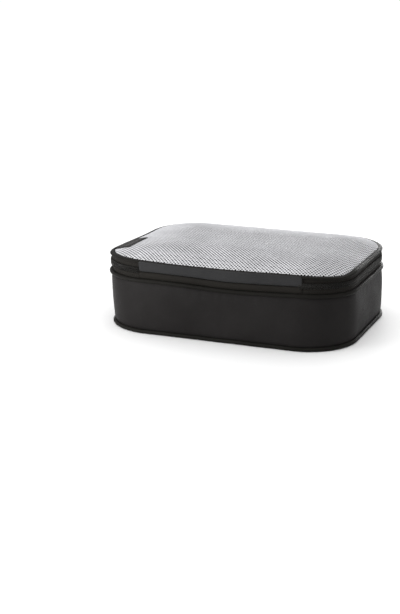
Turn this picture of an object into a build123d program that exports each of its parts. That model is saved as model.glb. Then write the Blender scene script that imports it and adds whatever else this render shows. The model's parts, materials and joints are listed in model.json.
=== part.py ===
from build123d import *
import os

# Packing cube: a soft rectangular organiser with a full-height fabric wall, a crowned
# mesh lid that folds forward on a fabric strip, and a two-way coil zipper on the other
# three sides. Origin: centre of the flat bottom panel. +X runs along the length,
# -Y is the side with the folding strip, +Y the side where the sliders meet, +Z is up.
# All sizes in millimetres.

os.makedirs("parts", exist_ok=True)

# ---- driving dimensions ----------------------------------------------------------
L = 280.0            # length over the fabric wall
W = 198.0            # width over the fabric wall
R = 54.0             # corner radius of the wall
T = 1.2              # wall fabric, with its coating
T_BOTTOM = 1.0       # bottom panel fabric
D_PANEL = -1.6       # bottom panel edge, measured outwards from the wall face

PIPE_OUT = 0.4       # centre line of both pipings, outwards from the wall face
PIPE_R_BOT = 2.3     # bottom piping radius
PIPE_Z_BOT = 2.5     # bottom piping centre height
PIPE_R_MID = 2.4     # piping under the zipper
PIPE_Z_MID = 60.3
CORD_R_BOT = 1.2     # filler cords
CORD_R_MID = 1.25
CORD_GAP = 0.05

WALL_Z0 = 4.9        # fabric wall, lower and upper seam
WALL_Z1 = 57.8

BIND_IN = -8.5       # inner edge of the bound seam allowances
ZC = 71.3            # zipper centre line height
TAPE_T = 0.6
TAPE_IN = -1.3       # inner face of both tapes
COIL_OUT = 0.9       # outer face of both coils
COIL_H = 1.8         # height of each row of coil
COIL_HALF_GAP = 0.7  # from the zipper centre line to each row
TAPE_HALF_GAP = 0.9
LID_Z = 78.2         # lower edge of the lid binding
STRIP_HALF = 91.6    # half length of the folding strip
ZIP_END = 92.0       # the zipper stops here on the front side

MESH_EDGE = -4.6     # edge of the mesh, inwards from the wall face
MESH_T = 1.2
# crown of the mesh: (scale of the outline, height)
CROWN = [(1.0, 80.6), (0.95, 84.0), (0.86, 87.0), (0.72, 89.4), (0.52, 91.0), (0.28, 91.8)]

SLIDER_L = 11.0      # slider along the zipper
SLIDER_H = 8.4       # slider across the zipper
SLIDER_X = 6.3       # rest position of each slider from the middle
PLATE_T = 1.0
PLATE_OUT = 1.35     # inner face of the outer plate
PLATE_IN = -1.9      # outer face of the inner plate
BAR_R = 0.6
BAR_OUT = 4.3        # bridge bar, outwards from the wall face
PULL_LEN = 24.0

LABEL_W = 46.0
LABEL_H = 17.0
LABEL_T = 0.8
LABEL_Y = -37.0
LABEL_TILT = 15.0
LABEL_X = -134.9
LABEL_Z = 82.9

# ---- base: bottom panel, wall and their seams -------------------------------------
with BuildPart() as bottom_panel:
    with BuildSketch(Plane.XY):
        RectangleRounded(L + 2 * D_PANEL, W + 2 * D_PANEL, R + D_PANEL)
    extrude(amount=T_BOTTOM)
bottom_panel.part.label = "bottom_panel"
export_step(bottom_panel.part, "parts/bottom_panel.step")

with BuildPart() as gusset_wall:
    with BuildSketch(Plane.XY.offset(WALL_Z0)):
        RectangleRounded(L, W, R)
        RectangleRounded(L - 2 * T, W - 2 * T, R - T, mode=Mode.SUBTRACT)
    extrude(amount=WALL_Z1 - WALL_Z0)
gusset_wall.part.label = "gusset_wall"
export_step(gusset_wall.part, "parts/gusset_wall.step")

# piping: a round welt swept once round the cube, with a filler cord inside it
with BuildPart() as bottom_piping:
    with BuildLine(Plane.XY.offset(PIPE_Z_BOT)):
        hx, hy, r = L / 2 + PIPE_OUT, W / 2 + PIPE_OUT, R + PIPE_OUT
        Line((0, -hy), (hx - r, -hy))
        CenterArc((hx - r, -hy + r), r, -90, 90)
        Line((hx, -hy + r), (hx, hy - r))
        CenterArc((hx - r, hy - r), r, 0, 90)
        Line((hx - r, hy), (-hx + r, hy))
        CenterArc((-hx + r, hy - r), r, 90, 90)
        Line((-hx, hy - r), (-hx, -hy + r))
        CenterArc((-hx + r, -hy + r), r, 180, 90)
        Line((-hx + r, -hy), (0, -hy))
    with BuildSketch(Plane(origin=(0, -W / 2 - PIPE_OUT, PIPE_Z_BOT), x_dir=(0, 1, 0), z_dir=(1, 0, 0))):
        Circle(PIPE_R_BOT)
        Circle(CORD_R_BOT + CORD_GAP, mode=Mode.SUBTRACT)
    sweep()
bottom_piping.part.label = "bottom_piping"
export_step(bottom_piping.part, "parts/bottom_piping.step")

with BuildPart() as bottom_piping_cord:
    with BuildLine(Plane.XY.offset(PIPE_Z_BOT)):
        hx, hy, r = L / 2 + PIPE_OUT, W / 2 + PIPE_OUT, R + PIPE_OUT
        Line((0, -hy), (hx - r, -hy))
        CenterArc((hx - r, -hy + r), r, -90, 90)
        Line((hx, -hy + r), (hx, hy - r))
        CenterArc((hx - r, hy - r), r, 0, 90)
        Line((hx - r, hy), (-hx + r, hy))
        CenterArc((-hx + r, hy - r), r, 90, 90)
        Line((-hx, hy - r), (-hx, -hy + r))
        CenterArc((-hx + r, -hy + r), r, 180, 90)
        Line((-hx + r, -hy), (0, -hy))
    with BuildSketch(Plane(origin=(0, -W / 2 - PIPE_OUT, PIPE_Z_BOT), x_dir=(0, 1, 0), z_dir=(1, 0, 0))):
        Circle(CORD_R_BOT)
    sweep()
bottom_piping_cord.part.label = "bottom_piping_cord"
export_step(bottom_piping_cord.part, "parts/bottom_piping_cord.step")

# tape folded round the raw edges of the bottom seam, inside the cube
with BuildPart() as bottom_seam_binding:
    with BuildSketch(Plane.XY.offset(T_BOTTOM + 0.1)):
        RectangleRounded(L - 4.2, W - 4.2, R - 2.1)
        RectangleRounded(L + 2 * BIND_IN, W + 2 * BIND_IN, R + BIND_IN, mode=Mode.SUBTRACT)
    extrude(amount=2.2)
    fillet(bottom_seam_binding.edges().group_by(Axis.Z)[-1], radius=0.9)
bottom_seam_binding.part.label = "bottom_seam_binding"
export_step(bottom_seam_binding.part, "parts/bottom_seam_binding.step")

with BuildPart() as middle_piping:
    with BuildLine(Plane.XY.offset(PIPE_Z_MID)):
        hx, hy, r = L / 2 + PIPE_OUT, W / 2 + PIPE_OUT, R + PIPE_OUT
        Line((0, -hy), (hx - r, -hy))
        CenterArc((hx - r, -hy + r), r, -90, 90)
        Line((hx, -hy + r), (hx, hy - r))
        CenterArc((hx - r, hy - r), r, 0, 90)
        Line((hx - r, hy), (-hx + r, hy))
        CenterArc((-hx + r, hy - r), r, 90, 90)
        Line((-hx, hy - r), (-hx, -hy + r))
        CenterArc((-hx + r, -hy + r), r, 180, 90)
        Line((-hx + r, -hy), (0, -hy))
    with BuildSketch(Plane(origin=(0, -W / 2 - PIPE_OUT, PIPE_Z_MID), x_dir=(0, 1, 0), z_dir=(1, 0, 0))):
        Circle(PIPE_R_MID)
        Circle(CORD_R_MID + CORD_GAP, mode=Mode.SUBTRACT)
    sweep()
middle_piping.part.label = "middle_piping"
export_step(middle_piping.part, "parts/middle_piping.step")

with BuildPart() as middle_piping_cord:
    with BuildLine(Plane.XY.offset(PIPE_Z_MID)):
        hx, hy, r = L / 2 + PIPE_OUT, W / 2 + PIPE_OUT, R + PIPE_OUT
        Line((0, -hy), (hx - r, -hy))
        CenterArc((hx - r, -hy + r), r, -90, 90)
        Line((hx, -hy + r), (hx, hy - r))
        CenterArc((hx - r, hy - r), r, 0, 90)
        Line((hx - r, hy), (-hx + r, hy))
        CenterArc((-hx + r, hy - r), r, 90, 90)
        Line((-hx, hy - r), (-hx, -hy + r))
        CenterArc((-hx + r, -hy + r), r, 180, 90)
        Line((-hx + r, -hy), (0, -hy))
    with BuildSketch(Plane(origin=(0, -W / 2 - PIPE_OUT, PIPE_Z_MID), x_dir=(0, 1, 0), z_dir=(1, 0, 0))):
        Circle(CORD_R_MID)
    sweep()
middle_piping_cord.part.label = "middle_piping_cord"
export_step(middle_piping_cord.part, "parts/middle_piping_cord.step")

# bound seam allowance behind the middle piping
with BuildPart() as middle_seam_binding:
    with BuildSketch(Plane.XY.offset(PIPE_Z_MID - 1.1)):
        RectangleRounded(L - 4.2, W - 4.2, R - 2.1)
        RectangleRounded(L + 2 * BIND_IN, W + 2 * BIND_IN, R + BIND_IN, mode=Mode.SUBTRACT)
    extrude(amount=2.2)
    fillet(middle_seam_binding.faces().sort_by(Axis.Z)[-1].inner_wires()[0].edges(), radius=0.9)
    fillet(middle_seam_binding.faces().sort_by(Axis.Z)[0].inner_wires()[0].edges(), radius=0.9)
middle_seam_binding.part.label = "middle_seam_binding"
export_step(middle_seam_binding.part, "parts/middle_seam_binding.step")

# ---- zipper: two tapes and two rows of coil on three sides ------------------------
TAPE_LOW_Z0 = PIPE_Z_MID + PIPE_R_MID + 0.1
with BuildPart() as zipper_tape_lower:
    with BuildSketch(Plane.XY.offset(TAPE_LOW_Z0)):
        RectangleRounded(L + 2 * (TAPE_IN + TAPE_T), W + 2 * (TAPE_IN + TAPE_T), R + TAPE_IN + TAPE_T)
        RectangleRounded(L + 2 * TAPE_IN, W + 2 * TAPE_IN, R + TAPE_IN, mode=Mode.SUBTRACT)
        with Locations((0, -W / 2)):
            Rectangle(2 * ZIP_END, 40, mode=Mode.SUBTRACT)
    extrude(amount=ZC - TAPE_HALF_GAP - TAPE_LOW_Z0)
zipper_tape_lower.part.label = "zipper_tape_lower"
export_step(zipper_tape_lower.part, "parts/zipper_tape_lower.step")

with BuildPart() as zipper_coil_lower:
    with BuildSketch(Plane.XY.offset(ZC - COIL_HALF_GAP - COIL_H)):
        RectangleRounded(L + 2 * COIL_OUT, W + 2 * COIL_OUT, R + COIL_OUT)
        RectangleRounded(L + 2 * (TAPE_IN + TAPE_T), W + 2 * (TAPE_IN + TAPE_T), R + TAPE_IN + TAPE_T, mode=Mode.SUBTRACT)
        with Locations((0, -W / 2)):
            Rectangle(2 * ZIP_END, 40, mode=Mode.SUBTRACT)
    extrude(amount=COIL_H)
zipper_coil_lower.part.label = "zipper_coil_lower"
export_step(zipper_coil_lower.part, "parts/zipper_coil_lower.step")

# ---- lid --------------------------------------------------------------------------
with BuildPart() as zipper_tape_upper:
    with BuildSketch(Plane.XY.offset(ZC + TAPE_HALF_GAP)):
        RectangleRounded(L + 2 * (TAPE_IN + TAPE_T), W + 2 * (TAPE_IN + TAPE_T), R + TAPE_IN + TAPE_T)
        RectangleRounded(L + 2 * TAPE_IN, W + 2 * TAPE_IN, R + TAPE_IN, mode=Mode.SUBTRACT)
        with Locations((0, -W / 2)):
            Rectangle(2 * ZIP_END, 40, mode=Mode.SUBTRACT)
    extrude(amount=LID_Z - ZC - TAPE_HALF_GAP)
zipper_tape_upper.part.label = "zipper_tape_upper"
export_step(zipper_tape_upper.part, "parts/zipper_tape_upper.step")

with BuildPart() as zipper_coil_upper:
    with BuildSketch(Plane.XY.offset(ZC + COIL_HALF_GAP)):
        RectangleRounded(L + 2 * COIL_OUT, W + 2 * COIL_OUT, R + COIL_OUT)
        RectangleRounded(L + 2 * (TAPE_IN + TAPE_T), W + 2 * (TAPE_IN + TAPE_T), R + TAPE_IN + TAPE_T, mode=Mode.SUBTRACT)
        with Locations((0, -W / 2)):
            Rectangle(2 * ZIP_END, 40, mode=Mode.SUBTRACT)
    extrude(amount=COIL_H)
zipper_coil_upper.part.label = "zipper_coil_upper"
export_step(zipper_coil_upper.part, "parts/zipper_coil_upper.step")

# fabric strip that the lid folds on, in the middle of the front side
with BuildPart() as hinge_strip:
    with BuildSketch(Plane.XY.offset(PIPE_Z_MID + PIPE_R_MID + 0.5)):
        with Locations((0, -W / 2 + 0.5)):
            Rectangle(2 * STRIP_HALF, 1.0)
    extrude(amount=LID_Z - (PIPE_Z_MID + PIPE_R_MID + 0.5))
hinge_strip.part.label = "hinge_strip"
export_step(hinge_strip.part, "parts/hinge_strip.step")

# rolled binding round the mesh
with BuildPart() as lid_binding:
    with BuildSketch(Plane.XY.offset(LID_Z)):
        RectangleRounded(L + 3.2, W + 3.2, R + 1.6)
        RectangleRounded(L + 2 * MESH_EDGE, W + 2 * MESH_EDGE, R + MESH_EDGE, mode=Mode.SUBTRACT)
    extrude(amount=3.8)
    fillet(lid_binding.faces().sort_by(Axis.Z)[-1].outer_wire().edges(), radius=1.8)
    fillet(lid_binding.faces().sort_by(Axis.Z)[0].outer_wire().edges(), radius=1.5)
lid_binding.part.label = "lid_binding"
export_step(lid_binding.part, "parts/lid_binding.step")

# bound seam allowance under the rolled binding
with BuildPart() as lid_seam_binding:
    with BuildSketch(Plane.XY.offset(LID_Z - 2.2)):
        RectangleRounded(L - 2.8, W - 2.8, R - 1.4)
        RectangleRounded(L + 2 * BIND_IN, W + 2 * BIND_IN, R + BIND_IN, mode=Mode.SUBTRACT)
    extrude(amount=2.1)
    fillet(lid_seam_binding.faces().sort_by(Axis.Z)[-1].inner_wires()[0].edges(), radius=0.8)
    fillet(lid_seam_binding.faces().sort_by(Axis.Z)[0].inner_wires()[0].edges(), radius=0.8)
lid_seam_binding.part.label = "lid_seam_binding"
export_step(lid_seam_binding.part, "parts/lid_seam_binding.step")

# crowned mesh panel
ML, MW, MR = L + 2 * MESH_EDGE, W + 2 * MESH_EDGE, R + MESH_EDGE
with BuildPart() as mesh_panel:
    with BuildSketch(Plane.XY.offset(79.8)):
        RectangleRounded(ML, MW, MR)
    for s, z in CROWN:
        with BuildSketch(Plane.XY.offset(z)):
            RectangleRounded(ML * s, MW * s, MR * s)
    loft(ruled=True)
    with BuildSketch(Plane.XY.offset(79.8)):
        RectangleRounded(ML - 2.4, MW - 2.4, MR - 1.2)
    for s, z in CROWN:
        with BuildSketch(Plane.XY.offset(z - MESH_T)):
            RectangleRounded(ML * s - 0.8, MW * s - 0.8, MR * s - 0.4)
    loft(ruled=True, mode=Mode.SUBTRACT)
mesh_panel.part.label = "mesh_panel"
export_step(mesh_panel.part, "parts/mesh_panel.step")

# woven side label, sewn into the binding at one short end and lying on the mesh
LABEL_PLANE = Plane(origin=(LABEL_X, LABEL_Y, LABEL_Z), x_dir=(1, 0, 0), z_dir=(0, 0, 1)).rotated((0, -LABEL_TILT, 0))
with BuildPart() as side_label:
    with BuildSketch(LABEL_PLANE.offset(-LABEL_T / 2)):
        with Locations((LABEL_H / 2, 0)):
            RectangleRounded(LABEL_H, LABEL_W, 0.6)
    extrude(amount=LABEL_T)
side_label.part.label = "side_label"
export_step(side_label.part, "parts/side_label.step")

# ---- sliders and pulls, on the back side ------------------------------------------
WB = W / 2
with BuildPart() as slider_left:
    # outer plate, with rounded nose and tail
    with BuildSketch(Plane(origin=(-SLIDER_X, WB + PLATE_OUT, ZC), x_dir=(1, 0, 0), z_dir=(0, 1, 0))):
        RectangleRounded(SLIDER_L, SLIDER_H, 2.4)
    extrude(amount=PLATE_T)
    # inner plate
    with BuildSketch(Plane(origin=(-SLIDER_X, WB + PLATE_IN - PLATE_T, ZC), x_dir=(1, 0, 0), z_dir=(0, 1, 0))):
        RectangleRounded(SLIDER_L, SLIDER_H, 2.4)
    extrude(amount=PLATE_T)
    # wedge between the two rows of coil
    with BuildSketch(Plane(origin=(-SLIDER_X - 2.6, WB + PLATE_IN - 0.2, ZC), x_dir=(1, 0, 0), z_dir=(0, 1, 0))):
        SlotOverall(3.6, 0.8)
    extrude(amount=PLATE_OUT - PLATE_IN + 0.4)
    # lip under the lower row of coil
    with BuildSketch(Plane(origin=(-SLIDER_X, WB - 0.3, ZC - SLIDER_H / 2 + 0.45), x_dir=(1, 0, 0), z_dir=(0, 1, 0))):
        Rectangle(SLIDER_L - 5.0, 0.9)
    extrude(amount=PLATE_OUT + 0.3 + 0.5)
    # bridge: two feet and a bar
    with BuildSketch(Plane(origin=(-SLIDER_X, WB + PLATE_OUT + PLATE_T - 0.2, ZC), x_dir=(1, 0, 0), z_dir=(0, 1, 0))):
        with Locations((-3.4, 0), (3.4, 0)):
            RectangleRounded(1.4, 1.4, 0.3)
    extrude(amount=BAR_OUT + BAR_R - PLATE_OUT - PLATE_T + 0.2)
    with BuildSketch(Plane(origin=(-SLIDER_X - 3.6, WB + BAR_OUT, ZC), x_dir=(0, 1, 0), z_dir=(1, 0, 0))):
        Circle(BAR_R)
    extrude(amount=7.2)
slider_left.part.label = "slider_left"
export_step(slider_left.part, "parts/slider_left.step")

with BuildPart() as slider_right:
    with BuildSketch(Plane(origin=(SLIDER_X, WB + PLATE_OUT, ZC), x_dir=(1, 0, 0), z_dir=(0, 1, 0))):
        RectangleRounded(SLIDER_L, SLIDER_H, 2.4)
    extrude(amount=PLATE_T)
    with BuildSketch(Plane(origin=(SLIDER_X, WB + PLATE_IN - PLATE_T, ZC), x_dir=(1, 0, 0), z_dir=(0, 1, 0))):
        RectangleRounded(SLIDER_L, SLIDER_H, 2.4)
    extrude(amount=PLATE_T)
    with BuildSketch(Plane(origin=(SLIDER_X + 2.6, WB + PLATE_IN - 0.2, ZC), x_dir=(1, 0, 0), z_dir=(0, 1, 0))):
        SlotOverall(3.6, 0.8)
    extrude(amount=PLATE_OUT - PLATE_IN + 0.4)
    with BuildSketch(Plane(origin=(SLIDER_X, WB - 0.3, ZC - SLIDER_H / 2 + 0.45), x_dir=(1, 0, 0), z_dir=(0, 1, 0))):
        Rectangle(SLIDER_L - 5.0, 0.9)
    extrude(amount=PLATE_OUT + 0.3 + 0.5)
    with BuildSketch(Plane(origin=(SLIDER_X, WB + PLATE_OUT + PLATE_T - 0.2, ZC), x_dir=(1, 0, 0), z_dir=(0, 1, 0))):
        with Locations((-3.4, 0), (3.4, 0)):
            RectangleRounded(1.4, 1.4, 0.3)
    extrude(amount=BAR_OUT + BAR_R - PLATE_OUT - PLATE_T + 0.2)
    with BuildSketch(Plane(origin=(SLIDER_X - 3.6, WB + BAR_OUT, ZC), x_dir=(0, 1, 0), z_dir=(1, 0, 0))):
        Circle(BAR_R)
    extrude(amount=7.2)
slider_right.part.label = "slider_right"
export_step(slider_right.part, "parts/slider_right.step")

# pulls: a flat tab with a rolled eye round the bridge bar, hanging straight down
with BuildPart() as pull_left:
    with BuildSketch(Plane(origin=(-SLIDER_X - 1.6, WB + BAR_OUT, ZC), x_dir=(0, 1, 0), z_dir=(1, 0, 0))):
        Circle(BAR_R + 0.9)
    extrude(amount=3.2)
    with BuildSketch(Plane(origin=(-SLIDER_X, WB + BAR_OUT - 0.6, ZC), x_dir=(1, 0, 0), z_dir=(0, 1, 0))):
        with BuildLine():
            Polyline((-1.6, 0), (1.6, 0), (1.6, 3.2), (3.6, 7.0), (3.6, PULL_LEN - 3.6))
            CenterArc((0, PULL_LEN - 3.6), 3.6, 0, 180)
            Polyline((-3.6, PULL_LEN - 3.6), (-3.6, 7.0), (-1.6, 3.2), (-1.6, 0))
        make_face()
        with Locations((0, PULL_LEN - 7.6)):
            SlotOverall(9.0, 3.2, rotation=90, mode=Mode.SUBTRACT)
    extrude(amount=1.2)
    with BuildSketch(Plane(origin=(-SLIDER_X - 1.8, WB + BAR_OUT, ZC), x_dir=(0, 1, 0), z_dir=(1, 0, 0))):
        Circle(BAR_R + 0.25)
    extrude(amount=3.6, mode=Mode.SUBTRACT)
pull_left.part.label = "pull_left"
export_step(pull_left.part, "parts/pull_left.step")

with BuildPart() as pull_right:
    with BuildSketch(Plane(origin=(SLIDER_X - 1.6, WB + BAR_OUT, ZC), x_dir=(0, 1, 0), z_dir=(1, 0, 0))):
        Circle(BAR_R + 0.9)
    extrude(amount=3.2)
    with BuildSketch(Plane(origin=(SLIDER_X, WB + BAR_OUT - 0.6, ZC), x_dir=(1, 0, 0), z_dir=(0, 1, 0))):
        with BuildLine():
            Polyline((-1.6, 0), (1.6, 0), (1.6, 3.2), (3.6, 7.0), (3.6, PULL_LEN - 3.6))
            CenterArc((0, PULL_LEN - 3.6), 3.6, 0, 180)
            Polyline((-3.6, PULL_LEN - 3.6), (-3.6, 7.0), (-1.6, 3.2), (-1.6, 0))
        make_face()
        with Locations((0, PULL_LEN - 7.6)):
            SlotOverall(9.0, 3.2, rotation=90, mode=Mode.SUBTRACT)
    extrude(amount=1.2)
    with BuildSketch(Plane(origin=(SLIDER_X - 1.8, WB + BAR_OUT, ZC), x_dir=(0, 1, 0), z_dir=(1, 0, 0))):
        Circle(BAR_R + 0.25)
    extrude(amount=3.6, mode=Mode.SUBTRACT)
pull_right.part.label = "pull_right"
export_step(pull_right.part, "parts/pull_right.step")
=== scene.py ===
import bpy
import bmesh
import json
import math
import numpy as np
from mathutils import Vector, Matrix
from mathutils import noise as mn
from mathutils.bvhtree import BVHTree


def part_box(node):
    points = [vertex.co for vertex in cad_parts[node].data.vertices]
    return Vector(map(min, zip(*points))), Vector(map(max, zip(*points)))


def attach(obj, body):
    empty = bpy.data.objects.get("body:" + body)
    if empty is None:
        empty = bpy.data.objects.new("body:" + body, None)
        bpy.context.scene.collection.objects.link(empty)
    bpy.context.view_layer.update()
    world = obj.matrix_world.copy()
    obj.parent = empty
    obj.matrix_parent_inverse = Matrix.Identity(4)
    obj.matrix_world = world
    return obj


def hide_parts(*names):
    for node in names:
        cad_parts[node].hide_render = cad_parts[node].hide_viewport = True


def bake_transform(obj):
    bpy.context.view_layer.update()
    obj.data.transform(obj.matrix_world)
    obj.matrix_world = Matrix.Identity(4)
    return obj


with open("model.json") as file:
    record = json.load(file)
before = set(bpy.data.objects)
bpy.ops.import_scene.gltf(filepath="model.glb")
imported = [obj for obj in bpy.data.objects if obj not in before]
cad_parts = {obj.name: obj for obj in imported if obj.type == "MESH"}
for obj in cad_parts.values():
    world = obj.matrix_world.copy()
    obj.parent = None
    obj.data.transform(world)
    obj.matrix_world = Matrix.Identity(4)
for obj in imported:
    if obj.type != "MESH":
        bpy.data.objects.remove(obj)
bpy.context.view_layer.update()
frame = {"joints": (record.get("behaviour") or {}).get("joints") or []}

# ---------------------------------------------------------------- frame sizes
MM = 0.001


def nbox(name):
    a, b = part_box(name)
    return np.array(a, float) * 1000.0, np.array(b, float) * 1000.0


wlo, whi = nbox("gusset_wall")
HX, HY = (whi[0] - wlo[0]) / 2, (whi[1] - wlo[1]) / 2
R = 54.0
plo, phi_ = nbox("bottom_piping")
WB_Z, WB_R = (plo[2] + phi_[2]) / 2, (phi_[2] - plo[2]) / 2
mlo, mhi = nbox("middle_piping")
WM_Z, WM_R = (mlo[2] + mhi[2]) / 2, (mhi[2] - mlo[2]) / 2
W_OUT = mhi[0] - HX - WM_R            # welt centre line, outwards from the wall
clo, chi = nbox("zipper_coil_lower")
ulo, uhi = nbox("zipper_coil_upper")
ZC = (chi[2] + ulo[2]) / 2            # zipper centre line
blo, bhi = nbox("lid_binding")
LID_Z0, LID_Z1 = blo[2], bhi[2]
dlo, dhi = nbox("mesh_panel")
MESH_D = dhi[0] - HX                  # edge of the mesh, negative is inwards
CROWN_TOP = dhi[2]
slo, shi = nbox("hinge_strip")
STRIP = shi[0]
JOINT = {j["name"]: j for j in frame["joints"]}

# ---------------------------------------------------------------- the outline
A1 = HX - R
B1 = 2 * (HY - R)
ARC = R * math.pi / 2
LENS = np.array([A1, ARC, B1, ARC, 2 * A1, ARC, B1, ARC, A1])
CUM = np.concatenate([[0], np.cumsum(LENS)])
PER = CUM[-1]


def at(s):
    """Point and outward normal on the wall's outline, at arc length s from the middle of the front side."""
    s = np.mod(np.asarray(s, float), PER)
    P = np.zeros(s.shape + (2,))
    N = np.zeros(s.shape + (2,))
    k = np.clip(np.searchsorted(CUM, s, side="right") - 1, 0, 8)
    r = s - CUM[k]

    def put(m, px, py, nx, ny):
        P[m, 0], P[m, 1] = px, py
        N[m, 0], N[m, 1] = nx, ny

    m = k == 0
    put(m, r[m], -HY, 0, -1)
    m = k == 2
    put(m, HX, -HY + R + r[m], 1, 0)
    m = k == 4
    put(m, HX - R - r[m], HY, 0, 1)
    m = k == 6
    put(m, -HX, HY - R - r[m], -1, 0)
    m = k == 8
    put(m, -HX + R + r[m], -HY, 0, -1)
    for kk, cx, cy, a0 in ((1, HX - R, -HY + R, -90), (3, HX - R, HY - R, 0), (5, -HX + R, HY - R, 90), (7, -HX + R, -HY + R, 180)):
        m = k == kk
        a = math.radians(a0) + r[m] / R
        put(m, cx + R * np.cos(a), cy + R * np.sin(a), np.cos(a), np.sin(a))
    return P, N


def curved(s):
    """1 in the middle of a corner, 0 on the straight sides."""
    s = np.mod(np.asarray(s, float), PER)
    k = np.clip(np.searchsorted(CUM, s, side="right") - 1, 0, 8)
    r = (s - CUM[k]) / LENS[k]
    return np.where(k % 2 == 1, np.sin(np.pi * r), 0.0)


def wave(s, period, seed, n=5):
    """Smooth periodic noise round the outline, about -1 to 1."""
    rng = np.random.default_rng(seed)
    k0 = max(1, int(round(PER / period)))
    out = np.zeros(np.shape(s))
    for _ in range(n):
        k = max(1, int(round(k0 * rng.uniform(0.6, 1.5))))
        out = out + rng.uniform(0.5, 1.0) * np.sin(2 * np.pi * k * np.asarray(s) / PER + rng.uniform(0, 6.28))
    return out / n * 1.6


def noise3(P, scale, seed=0.0):
    """Smooth noise at points in millimetres, about -1 to 1."""
    return np.array([mn.noise(Vector((p[0] * scale + seed, p[1] * scale - seed, p[2] * scale + 3.1 * seed))) for p in P])


# the bands between the wall and the lid slump a little along the front and the right, as soft goods do
SLUMP = [(-230, -0.3), (-150, 0.4), (-79, 0.9), (-32, 0.1), (10, -1.7), (38, -0.8), (61, 0.0), (94, 1.5), (115, 1.0), (138, 0.0), (154, -0.9), (182, -1.2),
         (215, -1.3), (262, -1.8), (300, -1.2), (345, 0.0), (520, 0.0)]


# the lid's rim lifts at the two front corners, where the stuffing pushes it up
RIM = [(-235, 0.0), (-165, 0.9), (-135, 1.9), (-110, 2.4), (-81, 1.7), (-50, 0.8), (-22, 0.5), (10, 0.6), (36, 1.0), (70, 1.9), (93, 2.3), (108, 1.5), (125, 0.4), (133, -0.6), (141, -1.5), (152, -1.9),
       (161, -0.4), (169, 0.2), (200, 0.0), (237, -0.4), (290, -0.5), (345, 0.0), (520, 0.0)]


def along(S, rows):
    """A table of (arc length, height) read round the outline, with its corners smoothed."""
    q = np.mod(np.asarray(S, float) + 260, PER) - 260
    xs, ys = [v[0] for v in rows], [v[1] for v in rows]
    return (np.interp(q, xs, ys) + np.interp(q - 8, xs, ys) + np.interp(q + 8, xs, ys)) / 3


def step(x):
    x = np.clip(x, 0, 1)
    return x * x * (3 - 2 * x)


def slump(S, Z):
    """How far a point at height Z on the outline is above its place in the frame: the bands' own line up to the zipper, then the rim's."""
    Z = np.asarray(Z, float)
    lid = step((Z - ZC) / (LID_Z0 - ZC))
    return step((Z - 4.0) / 50.0) * (along(S, SLUMP) * (1 - lid) + along(S, RIM) * lid)


LEAN = 6.4                              # how far the left front corner is pushed out at the lid, in millimetres
LEAN_FOOT = 0.5                         # the share of it that is left at the floor
LEAN_AT, LEAN_R = (-145.0, -78.0), (62.0, 125.0)


def leant(V):
    """The stuffing pushes the left front corner out, more at the top than at the foot. Every piece follows the same smooth shift."""
    V = np.array(V, float)
    w = step(1 - np.abs(V[:, 0] - LEAN_AT[0]) / LEAN_R[0]) * step(1 - np.abs(V[:, 1] - LEAN_AT[1]) / LEAN_R[1])
    h = LEAN * (LEAN_FOOT + (1 - LEAN_FOOT) * step(V[:, 2] / LID_Z0))
    V[:, 0] -= 0.98 * w * h
    V[:, 1] -= 0.12 * w * h
    return V


# ---------------------------------------------------------------- mesh makers
def make_obj(name, verts, faces, uvs=None, smooth=True, mat=None, sharp=None):
    me = bpy.data.meshes.new(name)
    me.from_pydata([tuple(v) for v in leant(verts) * MM], [], [tuple(f) for f in faces])
    me.update()
    if uvs is not None:
        layer = me.uv_layers.new(name="UVMap")
        layer.data.foreach_set("uv", np.asarray(uvs, np.float32).ravel())
    if smooth:
        me.polygons.foreach_set("use_smooth", [True] * len(me.polygons))
    o = bpy.data.objects.new(name, me)
    bpy.context.scene.collection.objects.link(o)
    if mat is not None:
        me.materials.append(mat)
    return o


def fix_normals(o):
    bm = bmesh.new()
    bm.from_mesh(o.data)
    bmesh.ops.recalc_face_normals(bm, faces=bm.faces)
    bm.to_mesh(o.data)
    bm.free()
    o.data.update()
    return o


def skin(name, S, prof, closed=True, mat=None, offset=None, smooth=True):
    """A strip of cloth or tape with a closed profile, run along the outline. prof is (n, m, 2): distance outwards and height."""
    S = np.asarray(S, float)
    prof = np.asarray(prof, float)
    if prof.ndim == 2:
        prof = np.repeat(prof[None], len(S), 0)
    n, m = prof.shape[:2]
    P, N = at(S)
    lift = slump(S[:, None], prof[:, :, 1])[:, :, None]
    V = np.concatenate([P[:, None, :] + N[:, None, :] * prof[:, :, :1], prof[:, :, 1:2] + lift], 2)
    if offset is not None:
        V = V + offset
    seg = np.linalg.norm(np.diff(np.concatenate([prof, prof[:, :1]], 1), axis=1), axis=2).mean(0)
    vv = np.concatenate([[0], np.cumsum(seg)])
    faces, uv = [], []
    last = n if closed else n - 1
    for i in range(last):
        j = (i + 1) % n
        u0, u1 = S[i], (S[j] if j > i else S[0] + PER)
        for k in range(m):
            l = (k + 1) % m
            faces.append((i * m + k, i * m + l, j * m + l, j * m + k))
            uv += [(u0, vv[k]), (u0, vv[k + 1]), (u1, vv[k + 1]), (u1, vv[k])]
    if not closed:
        for i in (0, n - 1):
            f = [i * m + k for k in range(m)]
            faces.append(tuple(f))
            uv += [(S[i] + prof[i, k, 0], prof[i, k, 1]) for k in range(m)]
    o = make_obj(name, V.reshape(-1, 3), faces, np.array(uv) * MM, smooth, mat)
    return fix_normals(o)


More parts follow.
